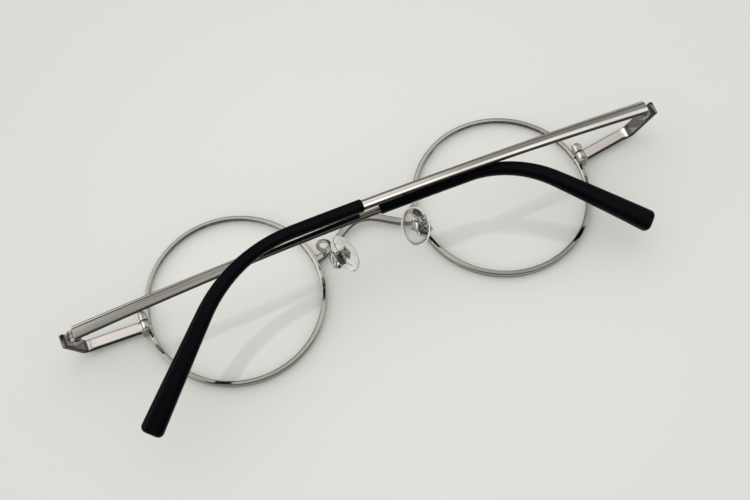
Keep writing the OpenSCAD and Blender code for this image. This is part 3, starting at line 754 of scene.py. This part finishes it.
def bar_half(t):
    """Half the bar's height: a taper, with its corners rounded by the hinge."""
    full = (bar_h1 + (bar_h2 - bar_h1) * min(max(t / taper_len, 0), 1)) / 2
    c = max(0, 1 - (t - bar_start) / bar_end_round)
    return full - bar_end_round * (1 - math.sqrt(1 - c * c))


def crowned_outline(half_a, half_b, r, crown, line_deep):
    """A rounded rectangle whose outer face is slightly domed, with a fine line near its top."""
    points = rounded_outline(half_a, half_b, r)[:-2]
    line_at = -line_level * half_b
    line_edge = line_spread * line_deep
    points += [(half_a - drop, line_at + shift) for shift, drop in (
        (-line_edge, 0), (-line_deep, 0), (0, line_deep), (line_deep, 0), (line_edge, 0))]
    flat_from = line_at + line_edge
    flat_len = half_b - r - flat_from
    points += [(half_a, flat_from + flat_len * k / crown_steps) for k in range(1, crown_steps)]
    return [(a - crown * (b / half_b) ** 2 if a > 0 else a, b) for a, b in points]


# The bar metal carries painted shade on its narrow sides.
bar_metal = nickel("bar_metal", (0.60, 0.575, 0.535), 0.10, "UV", 0.8, 1.0)
out = Vector((0, 0, 1))
for side in sides:
    round_end = bar_start + bar_end_round
    quarter = [math.pi / 2 * k / end_steps for k in range(end_steps)]
    stations = [bar_start + bar_end_round * (1 - math.cos(turn)) for turn in quarter]
    stations += [round_end + (tip_start[side] - round_end) * k / bar_steps for k in range(bar_steps + 1)]
    outlines = []
    for t in stations:
        half = bar_half(t)
        outlines.append(crowned_outline(bar_t / 2, half, min(bar_round, corner_share * half), bar_crown,
                                        line_depth if half > line_least else faint_line))
    core_end = temple_len[side] - core_short
    for k in range(core_steps + 1):
        stations.append(tip_start[side] + core_step + (core_end - tip_start[side]) * k / core_steps)
        outlines.append(crowned_outline(core_t / 2, core_w / 2, core_round, 0, faint_line))
    bar = sweep("temple_bar_" + side, [temple_point(side, t) for t in stations],
                [temple_line(side, t) for t in stations], [out] * len(stations), outlines,
                at_temple(side), bar_metal)
    finish_piece(bar, "polished_nickel_silver", "temple_" + side)

# The temple tips
# Black acetate sleeves, drilled for the core and pushed over it while warm.
# They are tumbled to a soft gloss, swell toward the end, and end blunt.
tip_w1 = 2.8 * mm
tip_w2 = 4.9 * mm
tip_t1 = 2.3 * mm
tip_t2 = 3.2 * mm
swell_start = 94 * mm
swell_power = 1.2
mouth_round = 0.4 * mm
end_round = 1.3 * mm
core_gap = 0.05 * mm
hole_steps = 40
round_steps = 10
tip_steps = 80
corner_steps = 6

acetate, tree, shader = new_material("black_acetate")
tip_place = add_node(tree, "ShaderNodeTexCoord").outputs
clouds = noise(tree, tip_place["Object"], 90.0, 4.0)
colour = blend(tree, clouds, (0.001, 0.0012, 0.0017), (0.003, 0.0034, 0.0046))
tree.links.new(colour, shader.inputs["Base Color"])
rubbed = noise(tree, tip_place["UV"], (110, 1500, 1), 4.0)
tree.links.new(ramp(tree, rubbed, 0.3, 0.75, 0.22, 0.4), shader.inputs["Roughness"])
relief(tree, shader, rubbed, 0.3, 0.00001)
shader.inputs["IOR"].default_value = 1.48
shader.inputs["Specular IOR Level"].default_value = 0.045


def tip_half(side, t, size1, size2, inset):
    """Half a tip's width or thickness, less the inset of its rounded ends."""
    share = min(max((t - swell_start) / (temple_len[side] - swell_start), 0), 1)
    return (size1 + (size2 - size1) * share ** swell_power) / 2 - inset


for side in sides:
    first, last = tip_start[side], temple_len[side]
    hole_end = last - core_short + core_gap
    stations = [hole_end + (first - hole_end) * k / hole_steps for k in range(hole_steps + 1)]
    hole = rounded_outline(core_t / 2 + core_gap, core_w / 2 + core_gap, core_round, corner_steps)
    outlines = [hole] * len(stations)
    rows = []
    for k in range(round_steps + 1):
        a = math.pi / 2 * k / round_steps
        rows.append((first + mouth_round * (1 - math.cos(a)), mouth_round * (1 - math.sin(a))))
    body_start, body_end = first + mouth_round, last - end_round
    rows += [(body_start + (body_end - body_start) * k / tip_steps, 0) for k in range(1, tip_steps + 1)]
    for k in range(1, round_steps + 1):
        a = math.pi / 2 * k / round_steps
        rows.append((body_end + end_round * math.sin(a), end_round * (1 - math.cos(a))))
    for t, inset in rows:
        half_t = tip_half(side, t, tip_t1, tip_t2, inset)
        half_w = tip_half(side, t, tip_w1, tip_w2, inset)
        stations.append(t)
        outlines.append(rounded_outline(half_t, half_w, corner_share * min(half_t, half_w), corner_steps))
    tip = sweep("acetate_tip_" + side, [temple_point(side, t) for t in stations],
                [temple_line(side, t) for t in stations], [out] * len(stations), outlines,
                at_temple(side), acetate, 50)
    finish_piece(tip, "black_acetate", "temple_tip_" + side)

# The pad arms
# A thin wire stands on the back of the bridge beside each rim, bows outward
# and comes down on the pad box. Both of its ends are soldered.
pad_x = 8 * mm
pad_drop = 6 * mm
pad_z = 15.8 * mm
pad_splay = math.radians(50)
pad_t = 2 * mm
arm_d = 0.9 * mm
box_len = 3.2 * mm
pivot_behind = 1.3 * mm
box_hollow = 1.0 * mm
box_wall = 0.4 * mm
box_wall_z = -pad_t / 2 - pivot_behind - box_hollow
box_back_z = box_wall_z - box_wall
arm_in = 1.9 * mm
arm_up = 0.5 * mm
arm_root_z = 1.3 * mm
arm_root = Vector((rim_out + arm_in - lens_x, bridge_foot_y + arm_up, arm_root_z))
arm_rise = ((0.2, -0.1, 1.7), (-0.21, -0.48, 2.9), (-1.16, -0.45, 4.7), (-1.41, -0.29, 6.7))
arm_fall = ((-0.6, 6.05, -4.05), (0.25, 5.35, -3.05), (0.85, 4.22, -2.25),
            (0.7, 2.61, -1.55), (0.46, 1.25, -0.75))
arm_turns = 14
arm_steps = 12
arm_side = Vector((1, 0.2, 0.1))
root_flare = 0.45
flare_reach = 0.5 * mm
arm_metal = nickel("arm_metal", (0.42, 0.405, 0.37), 0.10, "UV")


def smooth_line(points, steps):
    """Points of a smooth curve through given points."""
    made = []
    for i in range(len(points) - 1):
        a, b = points[max(i - 1, 0)], points[i]
        c, d = points[i + 1], points[min(i + 2, len(points) - 1)]
        for k in range(steps):
            f = k / steps
            made.append(0.5 * (2 * b + (c - a) * f + (2 * a - 5 * b + 4 * c - d) * f * f
                               + (3 * b - a - 3 * c + d) * f ** 3))
    return made + [points[-1]]


def wire_outline(r):
    """Points of a round wire's section."""
    turns = [2 * math.pi * k / arm_turns for k in range(arm_turns)]
    return [(r * math.cos(turn), r * math.sin(turn)) for turn in turns]


arm_back = (box_back_z + box_wall_z) / 2
over = Vector((-pad_x + arm_back * math.sin(pad_splay), -pad_drop + box_len / 2,
               pad_z + arm_back * math.cos(pad_splay)))
route = [arm_root] + [arm_root + Vector(v) * mm for v in arm_rise]
route += [over + Vector(v) * mm for v in arm_fall] + [over]
for side, sign in sides.items():
    path = smooth_line(route, arm_steps)
    reach = [sum((path[i + 1] - path[i]).length for i in range(k)) for k in range(len(path))]
    widths = [arm_d / 2 * (1 + root_flare * math.exp(-s / flare_reach)) for s in reach]
    arm = sweep("pad_arm_wire_" + side, path, headings(path, Vector((0, 0, 1)), Vector((0, -1, 0))),
                [arm_side] * len(path), [wire_outline(r) for r in widths], mirrored(sign), arm_metal)
    finish_piece(arm, "polished_nickel_silver", "pad_arm_" + side)

# The pad boxes, screws and cores
# A small milled box on each arm takes the tab of the pad's metal core, and a
# screw across it is the pin on which the pad rocks.
for side in sides:
    eased("pad_box_shell_" + side, "pad_box_" + side, leaf_ease, block_metal)
    eased("pad_pin_" + side, "pad_screw_" + side, screw_ease, screw_steel, "screw_steel")
    eased("pad_insert_" + side, "pad_core_" + side, screw_ease, block_metal)

# The nose pads
# Clear silicone, moulded round the metal core. It is soft, slightly milky,
# and shows the core through its face.
pad_len = 8.8 * mm
pad_w = 7.7 * mm
pad_turns = 64
profile_steps = 3
silicone, tree, shader = new_material("clear_silicone")
pad_place = add_node(tree, "ShaderNodeTexCoord").outputs["Object"]
milk = noise(tree, pad_place, 400.0, 3.0)
tree.links.new(blend(tree, milk, (0.985, 0.985, 0.975), (0.95, 0.95, 0.94)), shader.inputs["Base Color"])
tree.links.new(ramp(tree, milk, 0.3, 0.7, 0.0, 0.035), shader.inputs["Roughness"])
shader.inputs["IOR"].default_value = 1.28
shader.inputs["Transmission Weight"].default_value = 1.0
clear_to_light(tree, shader, (0.95, 0.95, 0.94, 1))

pad_profile = smooth_line([Vector((share, height, 0)) for share, height in (
    (0, -1), (0.4, -1), (0.78, -0.99), (0.9, -0.92), (0.97, -0.7), (1, -0.35), (0.985, 0), (0.93, 0.35),
    (0.82, 0.62), (0.66, 0.82), (0.45, 0.94), (0.2, 1), (0, 1.0))], profile_steps)
for side, sign in sides.items():
    points, faces = lathe([(max(p.x, 0), p.y * pad_t / 2) for p in pad_profile], pad_turns)
    points = [(x * pad_w / 2, y * pad_len / 2, z) for x, y, z in points]
    frame_of_pad = (mirrored(sign) @ Matrix.Translation((-pad_x, -pad_drop, pad_z))
                    @ Matrix.Rotation(pad_splay, 4, "Y"))
    pad = clean_object("silicone_pad_" + side, points, faces, frame_of_pad, silicone, 60)
    finish_piece(pad, "clear_silicone", "nose_pad_" + side)
